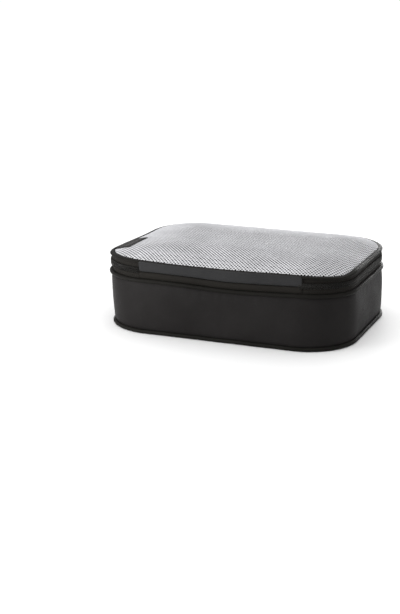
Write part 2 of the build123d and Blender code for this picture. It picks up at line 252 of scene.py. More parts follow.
def tube(name, path, radius, sides=8, closed=False, mat=None, flat=None):
    """A round tube along points in millimetres."""
    path = np.asarray(path, float)
    n = len(path)
    if closed:
        T = np.roll(path, -1, 0) - np.roll(path, 1, 0)
    else:
        T = np.gradient(path, axis=0)
    T /= np.linalg.norm(T, axis=1)[:, None]
    up = np.array([0, 0, 1.0]) if flat is None else np.asarray(flat, float)
    A = np.cross(T, up)
    bad = np.linalg.norm(A, axis=1) < 1e-3
    A[bad] = np.cross(T[bad], np.array([1.0, 0, 0]))
    A /= np.linalg.norm(A, axis=1)[:, None]
    # carry the frame along so that it never flips
    for i in range(1, n):
        a = A[i - 1] - T[i] * (A[i - 1] @ T[i])
        la = np.linalg.norm(a)
        if la > 1e-6:
            A[i] = a / la
    B = np.cross(T, A)
    r = np.broadcast_to(np.asarray(radius, float), (n,))
    ang = np.arange(sides) * 2 * np.pi / sides
    V = path[:, None, :] + r[:, None, None] * (np.cos(ang)[None, :, None] * A[:, None, :] + np.sin(ang)[None, :, None] * B[:, None, :])
    faces, uv = [], []
    d = np.concatenate([[0], np.cumsum(np.linalg.norm(np.diff(path, axis=0), axis=1))])
    for i in range(n if closed else n - 1):
        j = (i + 1) % n
        u0 = d[i]
        u1 = d[j] if j > i else d[-1] + np.linalg.norm(path[0] - path[-1])
        for k in range(sides):
            l = (k + 1) % sides
            faces.append((i * sides + k, i * sides + l, j * sides + l, j * sides + k))
            c = 2 * np.pi * float(r[i]) / sides
            uv += [(u0, k * c), (u0, (k + 1) * c), (u1, (k + 1) * c), (u1, k * c)]
    if not closed:
        for i in (0, n - 1):
            faces.append(tuple(i * sides + k for k in range(sides)))
            uv += [(np.cos(a) * 0.5, np.sin(a) * 0.5) for a in ang]
    return fix_normals(make_obj(name, V.reshape(-1, 3), faces, np.array(uv) * MM, True, mat))


def stitches(name, C, T, U, length=2.2, width=0.42, mat=None):
    """Rows of thread: C centres, T directions, U the side that faces out, all in millimetres."""
    C, T, U = (np.asarray(a, float) for a in (C, T, U))
    T = T / np.linalg.norm(T, axis=1)[:, None]
    Sd = np.cross(T, U)
    Sd /= np.linalg.norm(Sd, axis=1)[:, None]
    U = np.cross(Sd, T)
    rings = [(-0.5, 0.0, -0.30), (-0.36, 0.85, 0.02), (0.0, 1.0, 0.16), (0.36, 0.85, 0.02), (0.5, 0.0, -0.30)]
    ang = np.arange(6) * 2 * np.pi / 6
    verts, faces = [], []
    for c, t, u, s in zip(C, T, U, Sd):
        b = len(verts)
        verts.append(c + t * length * rings[0][0] + u * rings[0][2] * width)
        for f, r, h in rings[1:4]:
            for a in ang:
                verts.append(c + t * length * f + s * math.cos(a) * r * width / 2 + u * (math.sin(a) * r * width / 2 + h * width))
        verts.append(c + t * length * rings[4][0] + u * rings[4][2] * width)
        for k in range(6):
            l = (k + 1) % 6
            faces.append((b, b + 1 + l, b + 1 + k))
            for q in range(2):
                o1, o2 = b + 1 + q * 6, b + 7 + q * 6
                faces.append((o1 + k, o1 + l, o2 + l, o2 + k))
            faces.append((b + 19, b + 13 + k, b + 13 + l))
    return fix_normals(make_obj(name, verts, faces, None, True, mat))


def stitch_row(name, s0, s1, d, z, nrm, pitch=3.2, length=2.3, width=0.42, mat=None, body="base"):
    """One row along the outline at (d, z). nrm is the facing direction as (outwards, up)."""
    n = max(1, int(abs(s1 - s0) / pitch))
    S = s0 + (np.arange(n) + 0.5) * (s1 - s0) / n
    P, N = at(S)
    P2, _ = at(S + 0.05)
    T = np.concatenate([(P2 - P) * 20, np.zeros((n, 1))], 1)
    dd = d(S) if callable(d) else np.full(n, float(d))
    C = np.concatenate([P + N * dd[:, None], np.full((n, 1), float(z)) + slump(S, np.full(n, float(z)))[:, None]], 1)
    U = np.concatenate([N * nrm[0], np.full((n, 1), nrm[1])], 1)
    o = stitches(name, C, T, U, length, width, mat)
    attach(o, body)
    return o


# ---------------------------------------------------------------- cloth simulation
def simulate(verts, faces, pin, pressure=2.0, shrink=-0.01, frames=16, stiff=15.0, bend=0.5, cap=2.0):
    """Runs Blender's cloth on an open sheet and returns the settled points, each moved by cap at the most."""
    verts = np.asarray(verts, float)
    sc = bpy.context.scene
    me = bpy.data.meshes.new("sim")
    # cloth is run at ten times the size, where the solver's settings behave
    k = 10.0 * MM
    me.from_pydata([tuple(v) for v in verts * k], [], [tuple(f) for f in faces])
    me.update()
    o = bpy.data.objects.new("sim", me)
    sc.collection.objects.link(o)
    g = o.vertex_groups.new(name="pin")
    for i, w in enumerate(pin):
        if w > 0:
            g.add([i], float(w), "REPLACE")
    c = o.modifiers.new("cloth", "CLOTH")
    st = c.settings
    st.quality = 6
    st.mass = 0.3
    st.tension_stiffness = st.compression_stiffness = stiff
    st.shear_stiffness = stiff * 0.6
    st.bending_stiffness = bend
    st.tension_damping = st.compression_damping = 12
    st.air_damping = 3.0
    st.vertex_group_mass = "pin"
    st.pin_stiffness = 40
    st.shrink_min = shrink
    st.use_pressure = True
    st.uniform_pressure_force = pressure
    st.effector_weights.gravity = 0.0
    c.collision_settings.use_collision = False
    c.collision_settings.use_self_collision = False
    c.point_cache.frame_start, c.point_cache.frame_end = 1, frames + 2
    for f in range(1, frames + 1):
        sc.frame_set(f)
    dg = bpy.context.evaluated_depsgraph_get()
    ev = o.evaluated_get(dg)
    m2 = ev.to_mesh()
    out = np.zeros(len(m2.vertices) * 3)
    m2.vertices.foreach_get("co", out)
    ev.to_mesh_clear()
    out = out.reshape(-1, 3) / k
    bpy.data.objects.remove(o)
    bpy.data.meshes.remove(me)
    sc.frame_set(1)
    if not np.isfinite(out).all():
        return verts
    dv = out - verts
    ln = np.linalg.norm(dv, axis=1)
    f = np.where(ln > 1e-9, cap * np.tanh(ln / cap) / np.maximum(ln, 1e-9), 1.0)
    return verts + dv * f[:, None]


# ---------------------------------------------------------------- materials
def nodes_of(name):
    m = bpy.data.materials.new(name)
    m.use_nodes = True
    nt = m.node_tree
    b = nt.nodes.get("Principled BSDF")
    return m, nt, b


def nd(nt, kind, **kw):
    n = nt.nodes.new(kind)
    for k, v in kw.items():
        if k.startswith("in_"):
            key = k[3:]
            n.inputs[int(key) if key.isdigit() else key.replace("_", " ")].default_value = v
        else:
            setattr(n, k, v)
    return n


def math_(nt, op, a, b=None, c=None, clamp=False):
    n = nt.nodes.new("ShaderNodeMath")
    n.operation = op
    n.use_clamp = clamp
    for i, x in enumerate((a, b, c)):
        if x is None:
            continue
        if isinstance(x, (int, float)):
            n.inputs[i].default_value = x
        else:
            nt.links.new(x, n.inputs[i])
    return n.outputs[0]


def mixc(nt, fac, a, b, mode="MIX"):
    n = nt.nodes.new("ShaderNodeMix")
    n.data_type = "RGBA"
    n.blend_type = mode
    n.clamp_factor = True
    for i, x in ((0, fac), (6, a), (7, b)):
        if isinstance(x, (int, float)):
            n.inputs[i].default_value = x
        elif isinstance(x, tuple):
            n.inputs[i].default_value = x if len(x) == 4 else x + (1,)
        else:
            nt.links.new(x, n.inputs[i])
    return n.outputs[2]


def noise_tex(nt, vec, scale, detail=3.0, rough=0.55):
    n = nd(nt, "ShaderNodeTexNoise")
    n.inputs["Scale"].default_value = scale
    n.inputs["Detail"].default_value = detail
    n.inputs["Roughness"].default_value = rough
    nt.links.new(vec, n.inputs["Vector"])
    return n.outputs["Fac"]


def remap(nt, x, a, b, c, d):
    n = nd(nt, "ShaderNodeMapRange")
    n.clamp = True
    nt.links.new(x, n.inputs[0])
    for i, v in enumerate((a, b, c, d)):
        n.inputs[i + 1].default_value = v
    return n.outputs[0]


def bump(nt, h, strength, dist, normal=None):
    n = nd(nt, "ShaderNodeBump")
    n.inputs["Strength"].default_value = strength
    n.inputs["Distance"].default_value = dist
    nt.links.new(h, n.inputs["Height"])
    if normal is not None:
        nt.links.new(normal, n.inputs["Normal"])
    return n.outputs[0]


def weave(nt, period, twill=0.0, ratio=1.0):
    """Height of a plain or twill weave from the piece's UVs, which are in metres."""
    uv = nd(nt, "ShaderNodeUVMap", uv_map="UVMap").outputs[0]
    sep = nd(nt, "ShaderNodeSeparateXYZ")
    nt.links.new(uv, sep.inputs[0])
    k = 2 * math.pi / period
    a = math_(nt, "SINE", math_(nt, "MULTIPLY", sep.outputs[0], k))
    v = sep.outputs[1]
    if twill:
        v = math_(nt, "ADD", v, math_(nt, "MULTIPLY", sep.outputs[0], twill))
    b = math_(nt, "SINE", math_(nt, "MULTIPLY", v, k * ratio))
    return math_(nt, "MULTIPLY", a, b), sep.outputs[0], sep.outputs[1]


def fabric(name, dark, light, rough=(0.5, 0.65), sheen=0.3, period=0.0007, twill=0.0, weave_d=0.00006, crease=0.0006, spec=0.35, crease_scale=45.0, ratio=1.0, blotch=18.0, sheen_rough=0.35):
    m, nt, b = nodes_of(name)
    obj = nd(nt, "ShaderNodeTexCoord").outputs["Object"]
    w, u, v = weave(nt, period, twill, ratio)
    big = noise_tex(nt, obj, blotch, 3.0)
    fine = noise_tex(nt, obj, 1400.0, 2.0)
    fac = math_(nt, "ADD", math_(nt, "MULTIPLY", big, 0.55), math_(nt, "MULTIPLY", fine, 0.45))
    fac = remap(nt, fac, 0.36, 0.64, 0.0, 1.0)
    wv = remap(nt, w, -1.0, 1.0, 0.0, 1.0)
    col = mixc(nt, fac, dark, light)
    col = mixc(nt, math_(nt, "MULTIPLY", wv, 0.35), col, tuple(min(1.0, c * 1.35) for c in light))
    nt.links.new(col, b.inputs["Base Color"])
    nt.links.new(remap(nt, math_(nt, "ADD", math_(nt, "MULTIPLY", big, 0.6), math_(nt, "MULTIPLY", fine, 0.4)), 0.35, 0.65, rough[0], rough[1]), b.inputs["Roughness"])
    b.inputs["Specular IOR Level"].default_value = spec
    b.inputs["Sheen Weight"].default_value = sheen
    b.inputs["Sheen Roughness"].default_value = sheen_rough
    b.inputs["Sheen Tint"].default_value = (0.8, 0.8, 0.82, 1)
    n1 = bump(nt, wv, 0.6, weave_d)
    cr = noise_tex(nt, obj, crease_scale, 4.0, 0.5)
    n2 = bump(nt, cr, 0.5, crease, n1)
    nt.links.new(n2, b.inputs["Normal"])
    return m


SRGB = lambda h: tuple(((int(h[i:i + 2], 16) / 255 + 0.055) / 1.055) ** 2.4 if int(h[i:i + 2], 16) > 10 else int(h[i:i + 2], 16) / 255 / 12.92 for i in (0, 2, 4)) + (1.0,)

M_SHELL = fabric("shell_fabric", (0.0100, 0.0092, 0.0091, 1), (0.0163, 0.0152, 0.0150, 1), rough=(0.36, 0.47), sheen=0.0, period=0.0006, crease=0.0006, spec=0.022, crease_scale=38)
M_BOTTOM = fabric("bottom_fabric", (0.0125, 0.0115, 0.0114, 1), (0.0195, 0.0182, 0.0180, 1), rough=(0.45, 0.6), sheen=0.03, period=0.0006, crease=0.0006, spec=0.15, crease_scale=30)
M_WELT = fabric("piping_fabric", (0.0055, 0.0052, 0.0045, 1), (0.0110, 0.0104, 0.0092, 1), rough=(0.40, 0.56), sheen=0.0, period=0.0007, twill=1.0, crease=0.0007, spec=0.035, crease_scale=120)
M_TAPE = fabric("zipper_tape", (0.0080, 0.0072, 0.0062, 1), (0.0150, 0.0138, 0.0122, 1), rough=(0.55, 0.75), sheen=0.004, period=0.0008, twill=0.8, weave_d=0.00012, crease=0.0002, spec=0.04)
M_BIND = fabric("binding_tape", (0.0060, 0.0060, 0.0060, 1), (0.0120, 0.0120, 0.0120, 1), rough=(0.55, 0.75), sheen=0.01, period=0.0010, weave_d=0.00018, crease=0.0004, spec=0.06, crease_scale=90, ratio=0.35)
M_STRIP = fabric("strip_fabric", (0.0165, 0.0165, 0.0169, 1), (0.0245, 0.0245, 0.0252, 1), rough=(0.42, 0.55), sheen=0.004, period=0.0006, crease=0.0005, spec=0.06, crease_scale=50)


def mesh_material():
    m, nt, b = nodes_of("honeycomb_mesh")
    obj = nd(nt, "ShaderNodeTexCoord").outputs["Object"]
    big = noise_tex(nt, obj, 22.0, 3.0)
    fine = noise_tex(nt, obj, 2600.0, 3.0)
    w = nd(nt, "ShaderNodeTexWave")
    w.wave_type = "BANDS"
    w.bands_direction = "DIAGONAL"
    w.inputs["Scale"].default_value = 620.0
    w.inputs["Distortion"].default_value = 3.0
    w.inputs["Detail"].default_value = 2.0
    nt.links.new(obj, w.inputs["Vector"])
    fac = math_(nt, "ADD", math_(nt, "MULTIPLY", big, 0.4), math_(nt, "MULTIPLY", fine, 0.6))
    col = mixc(nt, remap(nt, fac, 0.36, 0.64, 0, 1), (0.50, 0.50, 0.517, 1), (0.70, 0.70, 0.722, 1))
    nt.links.new(col, b.inputs["Base Color"])
    nt.links.new(remap(nt, fine, 0.3, 0.7, 0.45, 0.65), b.inputs["Roughness"])
    b.inputs["Specular IOR Level"].default_value = 0.08
    n1 = bump(nt, w.outputs["Fac"], 0.5, 0.00008)
    n2 = bump(nt, fine, 0.4, 0.00006, n1)
    nt.links.new(n2, b.inputs["Normal"])
    return m


def thread_material(name, dark, light):
    m, nt, b = nodes_of(name)
    obj = nd(nt, "ShaderNodeTexCoord").outputs["Object"]
    fine = noise_tex(nt, obj, 1800.0, 2.0)
    w = nd(nt, "ShaderNodeTexWave")
    w.bands_direction = "DIAGONAL"
    w.inputs["Scale"].default_value = 900.0
    w.inputs["Distortion"].default_value = 0.6
    nt.links.new(obj, w.inputs["Vector"])
    nt.links.new(mixc(nt, remap(nt, fine, 0.35, 0.65, 0, 1), dark, light), b.inputs["Base Color"])
    nt.links.new(remap(nt, fine, 0.3, 0.7, 0.35, 0.55), b.inputs["Roughness"])
    b.inputs["Specular IOR Level"].default_value = 0.12
    nt.links.new(bump(nt, w.outputs["Fac"], 0.6, 0.00006), b.inputs["Normal"])
    return m


def nylon_material():
    m, nt, b = nodes_of("nylon_coil")
    obj = nd(nt, "ShaderNodeTexCoord").outputs["Object"]
    big = noise_tex(nt, obj, 60.0, 2.0)
    fine = noise_tex(nt, obj, 900.0, 2.0)
    nt.links.new(mixc(nt, remap(nt, big, 0.35, 0.65, 0, 1), (0.0065, 0.0061, 0.0054, 1), (0.0130, 0.0122, 0.0106, 1)), b.inputs["Base Color"])
    nt.links.new(remap(nt, fine, 0.3, 0.7, 0.22, 0.42), b.inputs["Roughness"])
    b.inputs["Specular IOR Level"].default_value = 0.16
    nt.links.new(bump(nt, fine, 0.3, 0.00003), b.inputs["Normal"])
    return m


def metal_material():
    m, nt, b = nodes_of("painted_metal")
    obj = nd(nt, "ShaderNodeTexCoord").outputs["Object"]
    geo = nd(nt, "ShaderNodeNewGeometry")
    big = noise_tex(nt, obj, 350.0, 4.0)
    fine = noise_tex(nt, obj, 2500.0, 2.0)
    edge = remap(nt, math_(nt, "ADD", geo.outputs["Pointiness"], math_(nt, "MULTIPLY", big, 0.08)), 0.575, 0.66, 0.0, 1.0)
    paint = mixc(nt, remap(nt, big, 0.35, 0.65, 0, 1), (0.012, 0.012, 0.012, 1), (0.022, 0.022, 0.021, 1))
    nt.links.new(mixc(nt, math_(nt, "MULTIPLY", edge, 0.55), paint, (0.16, 0.155, 0.145, 1)), b.inputs["Base Color"])
    nt.links.new(remap(nt, fine, 0.3, 0.7, 0.24, 0.40), b.inputs["Roughness"])
    b.inputs["Metallic"].default_value = 0.35
    b.inputs["Coat Weight"].default_value = 0.25
    b.inputs["Coat Roughness"].default_value = 0.2
    nt.links.new(bump(nt, big, 0.25, 0.00005), b.inputs["Normal"])
    return m


def label_material():
    """Woven damask label: dark ground, a lighter woven stripe and a dark lower band. UVs are in metres along and across the label."""
    m, nt, b = nodes_of("woven_label")
    w, u, v = weave(nt, 0.00055, 0.0, 1.0)
    obj = nd(nt, "ShaderNodeTexCoord").outputs["Object"]
    fine = noise_tex(nt, obj, 1500.0, 2.0)
    big = noise_tex(nt, obj, 120.0, 3.0)
    # v is the distance from the sewn edge
    vv = math_(nt, "ADD", v, math_(nt, "MULTIPLY", math_(nt, "SUBTRACT", big, 0.5), 0.0006))
    stripe = math_(nt, "MULTIPLY", remap(nt, vv, 0.0086, 0.0092, 0, 1), remap(nt, vv, 0.0118, 0.0124, 1, 0))
    band = remap(nt, vv, 0.0122, 0.0130, 0, 1)
    eu = math_(nt, "ABSOLUTE", u)
    selv = remap(nt, eu, 0.0208, 0.0216, 0, 1)
    ground = mixc(nt, remap(nt, fine, 0.35, 0.65, 0, 1), (0.0090, 0.0078, 0.0076, 1), (0.0190, 0.0168, 0.0168, 1))
    c = mixc(nt, math_(nt, "MULTIPLY", stripe, 0.85), ground, (0.055, 0.052, 0.053, 1))
    c = mixc(nt, math_(nt, "MULTIPLY", band, 0.8), c, (0.0075, 0.0074, 0.0078, 1))
    c = mixc(nt, math_(nt, "MULTIPLY", selv, 0.9), c, (0.0040, 0.0040, 0.0040, 1))
    wv = remap(nt, w, -1, 1, 0, 1)
    c = mixc(nt, math_(nt, "MULTIPLY", wv, 0.3), c, (0.036, 0.033, 0.033, 1))
    nt.links.new(c, b.inputs["Base Color"])
    nt.links.new(remap(nt, fine, 0.3, 0.7, 0.5, 0.7), b.inputs["Roughness"])
    b.inputs["Specular IOR Level"].default_value = 0.15
    nt.links.new(bump(nt, wv, 0.7, 0.00012), b.inputs["Normal"])
    return m


M_MESH = mesh_material()
M_THREAD = thread_material("thread", (0.0085, 0.0082, 0.0076, 1), (0.0190, 0.0184, 0.0172, 1))
M_CORD = thread_material("filler_cord", (0.42, 0.41, 0.38, 1), (0.62, 0.61, 0.58, 1))
M_COIL = nylon_material()
M_METAL = metal_material()
M_LABEL = label_material()

STEP = 3.0
NS = int(round(PER / STEP))
SALL = np.arange(NS) * PER / NS


def across(first, n):
    """Faces that close a ring's middle, from each point to the one straight across it."""
    out = []
    for i in range(-n // 4, n // 4):
        f = []
        for x in (i % n, (i + 1) % n, (n // 2 - i - 1) % n, (n // 2 - i) % n):
            if first + x not in f:
                f.append(first + x)
        if len(f) >= 3:
            out.append(tuple(f))
    return out


# ---------------------------------------------------------------- bottom panel
def rings_panel(name, d_edge, zbot, ztop, mat, nring=14):
    """A closed thin sheet filling the outline, from rings of the outline that shrink towards the middle."""
    S = np.arange(168) * PER / 168
    P, N = at(S)
    E = P + N * d_edge
    n = len(S)
    fr = np.concatenate([[1.0, 0.992], np.linspace(0.965, 0.13, nring)])
    V, faces, uv = [], [], []
    top = []
    for side in (0, 1):
        base = len(V)
        for f in fr:
            # a middle line keeps the rings even in a long shape, and is bowed at its ends so that no face there is flat to a line
            core = np.stack([np.clip(E[:, 0], -(HX - HY), HX - HY) * (1 - 0.35 * (E[:, 1] / HY) ** 2), np.zeros(n)], 1)
            Q = core + (E - core) * f
            z = (zbot if side == 0 else ztop)(Q, f)
            V += [(q[0], q[1], zz) for q, zz in zip(Q, z)]
        for r in range(len(fr) - 1):
            for i in range(n):
                j = (i + 1) % n
                faces.append((base + r * n + i, base + r * n + j, base + (r + 1) * n + j, base + (r + 1) * n + i))
        # close the middle slit between opposite points of the last ring
        faces += across(base + (len(fr) - 1) * n, n)
    m = len(fr) * n
    for i in range(n):
        j = (i + 1) % n
        faces.append((i, j, m + j, m + i))
    V = np.array(V)
    for f in faces:
        uv += [(V[x][0], V[x][1]) for x in f]
    return fix_normals(make_obj(name, V, faces, np.array(uv) * MM, True, mat))


def z_under(Q, f):
    w = noise3(np.concatenate([Q, np.zeros((len(Q), 1))], 1), 0.022, 4.0)
    e = 0.0 if f > 0.96 else 1.0
    return 0.02 + np.clip(0.10 + 0.30 * w, 0, 0.5) * e


def z_inner(Q, f):
    w = noise3(np.concatenate([Q, np.zeros((len(Q), 1))], 1), 0.030, 9.0)
    return 1.0 + 0.15 * w


bottom = rings_panel("bottom_cloth", -1.7, z_under, z_inner, M_BOTTOM)
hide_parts("bottom_panel")
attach(bottom, "base")


# ---------------------------------------------------------------- welts (piping) and their cords
def welt(name, zc, r, node, seed, body="base", flange=5.0):
    pr = []
    rr = r * (1 + 0.022 * wave(SALL, 11, seed) + 0.012 * wave(SALL, 4.5, seed + 1))
    sag = 0.18 * wave(SALL, 60, seed + 2)
    ang = np.linspace(-155, 155, 15)
    for i in range(NS):
        p = [(W_OUT + rr[i] * math.cos(math.radians(a)), zc + sag[i] + rr[i] * math.sin(math.radians(a))) for a in ang]
        # flange, sewn between the two fabrics and running inwards
        p += [(-2.6, zc + 0.34), (-flange, zc + 0.30), (-flange, zc - 0.30), (-2.6, zc - 0.34)]
        pr.append(p)
    o = skin(name, SALL, pr, mat=M_WELT)
    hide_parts(node)
    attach(o, body)
    return o


welt("welt_bottom", WB_Z, WB_R, "bottom_piping", 11)
welt("welt_middle", WM_Z, WM_R, "middle_piping", 23)


def cord_in(name, node):
    """Three-strand filler cord, sealed in the welt."""
    a, b = nbox(node)
    zc, r = (a[2] + b[2]) / 2, (b[2] - a[2]) / 2
    n = 520
    S = np.arange(n) * PER / n
    turns = 86
    pr = []
    for i in range(n):
        ph = 2 * np.pi * turns * i / n
        p = []
        for k in range(12):
            t = 2 * np.pi * k / 12
            rr = r * (0.80 + 0.17 * abs(math.cos(1.5 * (t - ph / 3 * 1.0))))
            p.append((W_OUT + rr * math.cos(t), zc + rr * math.sin(t)))
        pr.append(p)
    o = skin(name, S, pr, mat=M_CORD)
    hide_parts(node)
    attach(o, "base")


cord_in("filler_cord_bottom", "bottom_piping_cord")
cord_in("filler_cord_middle", "middle_piping_cord")

# ---------------------------------------------------------------- wall
Z0, Z1 = wlo[2] - 0.6, whi[2] + 0.6
NR = 17
tt = np.linspace(0, 1, NR)


def wall_d(S, t):
    """Distance of the wall's face outwards: full in the middle, pulled in and puckered at both seams."""
    S, t = np.asarray(S)[:, None], np.asarray(t)[None, :]
    c = curved(S)
    full = np.sin(np.pi * t) ** 0.6
    base = -0.35 + (0.95 + 0.30 * wave(S, 210, 5)) * full - 0.15 * c * full
    puck = (0.05 * wave(S, 8.0, 31) + 0.10 * wave(S, 15.0, 33)) * (0.7 + 3.2 * c) * (np.exp(-((t - 0.07) / 0.10) ** 2) + np.exp(-((t - 0.93) / 0.12) ** 2))
    low = 0.42 * wave(S + 40 * t, 75, 35) * np.sin(np.pi * t)
    fold = 0.30 * wave(S - 55 * t, 34, 37) * np.sin(np.pi * t) * (0.35 + 0.65 * c)
    return base + puck + low + fold


D = wall_d(SALL, tt)
P_, N_ = at(SALL)
Vw = np.concatenate([P_[:, None, :] + N_[:, None, :] * D[:, :, None], np.broadcast_to((Z0 + (Z1 - Z0) * tt)[None, :, None], (NS, NR, 1))], 2)
Fw = [(i * NR + k, ((i + 1) % NS) * NR + k, ((i + 1) % NS) * NR + k + 1, i * NR + k + 1) for i in range(NS) for k in range(NR - 1)]
pin = np.zeros((NS, NR))
pin[:, 0] = pin[:, -1] = 1.0
Vs = simulate(Vw.reshape(-1, 3), Fw, pin.ravel(), pressure=3.0, shrink=-0.012, frames=18, cap=1.3).reshape(NS, NR, 3)
# back to (outwards, height) so that the inner side follows the outer one
rel = ((Vs[:, :, :2] - P_[:, None, :]) * N_[:, None, :]).sum(2)
tang = Vs[:, :, :2] - P_[:, None, :] - N_[:, None, :] * rel[:, :, None]
pr = []
for i in range(NS):
    zz = Vs[i, :, 2]
    outer = [(-1.3, Z0 - 0.9)] + list(zip(rel[i], zz)) + [(-1.3, Z1 + 0.9)]
    inner = [(min(d - 0.95, -1.0), z) for d, z in zip(rel[i][::-1], zz[::-1])]
    pr.append([outer[0]] + outer[1:-1] + [outer[-1]] + [(-2.0, Z1 + 0.8)] + inner + [(-2.0, Z0 - 0.8)])
wall = skin("wall_cloth", SALL, pr, mat=M_SHELL)
sub = wall.modifiers.new("smooth", "SUBSURF")
sub.levels = sub.render_levels = 1
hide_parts("gusset_wall")
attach(wall, "base")

# ---------------------------------------------------------------- bound seam allowances inside
def bound_seam(name, node, body, seed, tilt=0.0):
    a, b = nbox(node)
    z0, z1 = a[2], b[2]
    d0 = b[0] - HX
    zc, h = (z0 + z1) / 2, (z1 - z0) / 2
    d1 = -8.5
    pr = []
    wv = 0.22 * wave(SALL, 26, seed) + 0.10 * wave(SALL, 9, seed + 3)
    for i in range(NS):
        w = wv[i]
        p = [(d0, zc + 0.55 * h), (d0 - 1.5, zc + 0.85 * h), (-5.2, zc + 0.95 * h + w * 0.3), (-7.4, zc + 0.9 * h + w * 0.5),
             (d1 + 0.25 + w * 0.6, zc + 0.55 * h), (d1 + w, zc), (d1 + 0.25 + w * 0.6, zc - 0.55 * h),
             (-7.4, zc - 0.9 * h + w * 0.3), (-5.2, zc - 0.95 * h + w * 0.2), (d0 - 1.5, zc - 0.85 * h), (d0, zc - 0.55 * h)]
        pr.append(p)
    o = skin(name, SALL, pr, mat=M_BIND)
    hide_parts(node)
    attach(o, body)
    return zc, h


zc_b, h_b = bound_seam("bound_seam_bottom", "bottom_seam_binding", "base", 41)
zc_m, h_m = bound_seam("bound_seam_middle", "middle_seam_binding", "base", 51)
zc_l, h_l = bound_seam("bound_seam_lid", "lid_seam_binding", "lid", 61)
stitch_row("thread_bottom_seam", 0, PER, -6.2, zc_b + h_b * 0.96, (0, 1), mat=M_THREAD, body="base")
stitch_row("thread_middle_seam", 0, PER, -6.2, zc_m + h_m * 0.96, (0, 1), mat=M_THREAD, body="base")
stitch_row("thread_lid_seam", 0, PER, -6.2, zc_l - h_l * 0.96, (0, -1), mat=M_THREAD, body="lid")

# ---------------------------------------------------------------- zipper tapes
ZE = 91.0
NT = int(round((PER - 2 * ZE) / 3.0))
ST = np.linspace(ZE, PER - ZE, NT + 1)
T_OUT = -0.7


def tape(name, node, z0, z1, body, seed, lower):
    w = 0.10 * wave(ST, 22, seed) + 0.06 * wave(ST, 8, seed + 1)
    pr = []
    for i in range(len(ST)):
        p = []
        for t in np.linspace(0, 1, 7):
            z = z0 + (z1 - z0) * t
            free = math.sin(math.pi * t)
            p.append((T_OUT + w[i] * free + 0.06 * math.sin(t * math.pi), z))
        for t in np.linspace(1, 0, 7):
            z = z0 + (z1 - z0) * t
            free = math.sin(math.pi * t)
            p.append((T_OUT - 0.5 + w[i] * free, z))
        pr.append(p)
    o = skin(name, ST, pr, closed=False, mat=M_TAPE)
    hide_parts(node)
    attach(o, body)


tape("tape_lower", "zipper_tape_lower", WM_Z + 1.2, ZC - 0.45, "base", 71, True)
tape("tape_upper", "zipper_tape_upper", ZC + 0.45, LID_Z0 + 1.6, "lid", 81, False)


# ---------------------------------------------------------------- zipper coils
def coil(name, node, up, body):
    """One row of continuous nylon coil, with heads that reach just past the middle between those of the other row."""
    pitch = 1.5
    n = int((PER - 2 * ZE - 2.0) / pitch)
    k = 10
    i = np.arange(n * k)
    th = i / k
    S = ZE + 1.0 + (th + (0.5 if up else 0.0)) * pitch
    ph = 2 * np.pi * (i % k) / k
    # flattened loop: outwards and up
    c, s = np.cos(ph), np.sin(ph)
    half_h, half_d = 1.75, 0.62
    zz = (1 if up else -1) * (1.45 + half_h * np.sign(c) * np.abs(c) ** 0.8 * -1.0)
    dd = 0.10 + half_d * np.sign(s) * np.abs(s) ** 0.8
    P, N = at(S)
    path = np.concatenate([P + N * dd[:, None], (ZC + zz + slump(S, ZC + zz))[:, None]], 1)
    # heads of the coil are slightly thicker
    rad = 0.36 + 0.07 * (np.abs(zz) < 0.4)
    sides = 5
    T = np.gradient(path, axis=0)
    T /= np.linalg.norm(T, axis=1)[:, None]
    tan = np.stack([-N[:, 1], N[:, 0], np.zeros(len(S))], 1)
    Bn = np.cross(T, tan)
    Bn /= np.linalg.norm(Bn, axis=1)[:, None]
    An = np.cross(Bn, T)
    ang = np.arange(sides) * 2 * np.pi / sides
    V = path[:, None, :] + rad[:, None, None] * (np.cos(ang)[None, :, None] * An[:, None, :] + np.sin(ang)[None, :, None] * Bn[:, None, :])
    nn = len(path)
    faces = []
    for a in range(nn - 1):
        for q in range(sides):
            l = (q + 1) % sides
            faces.append((a * sides + q, a * sides + l, (a + 1) * sides + l, (a + 1) * sides + q))
    faces.append(tuple(range(sides)))
    faces.append(tuple((nn - 1) * sides + q for q in range(sides)))
    o = fix_normals(make_obj(name, V.reshape(-1, 3), faces, None, True, M_COIL))
    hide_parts(node)
    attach(o, body)


coil("coil_lower", "zipper_coil_lower", False, "base")
coil("coil_upper", "zipper_coil_upper", True, "lid")
# sewing threads that hold the coils to the tapes and the tapes to the seams
stitch_row("thread_coil_lower", ZE + 1, PER - ZE - 1, 0.86, ZC - 2.2, (1, 0), pitch=1.5, length=1.5, width=0.30, mat=M_THREAD, body="base")
stitch_row("thread_coil_upper", ZE + 1, PER - ZE - 1, 0.86, ZC + 2.2, (1, 0), pitch=1.5, length=1.5, width=0.30, mat=M_THREAD, body="lid")
stitch_row("thread_tape_lower", ZE + 1, PER - ZE - 1, T_OUT + 0.12, ZC - 6.1, (1, 0), pitch=2.9, length=2.1, width=0.40, mat=M_THREAD, body="base")
stitch_row("thread_tape_upper", ZE + 1, PER - ZE - 1, T_OUT + 0.12, ZC + 5.4, (1, 0), pitch=2.9, length=2.1, width=0.40, mat=M_THREAD, body="lid")

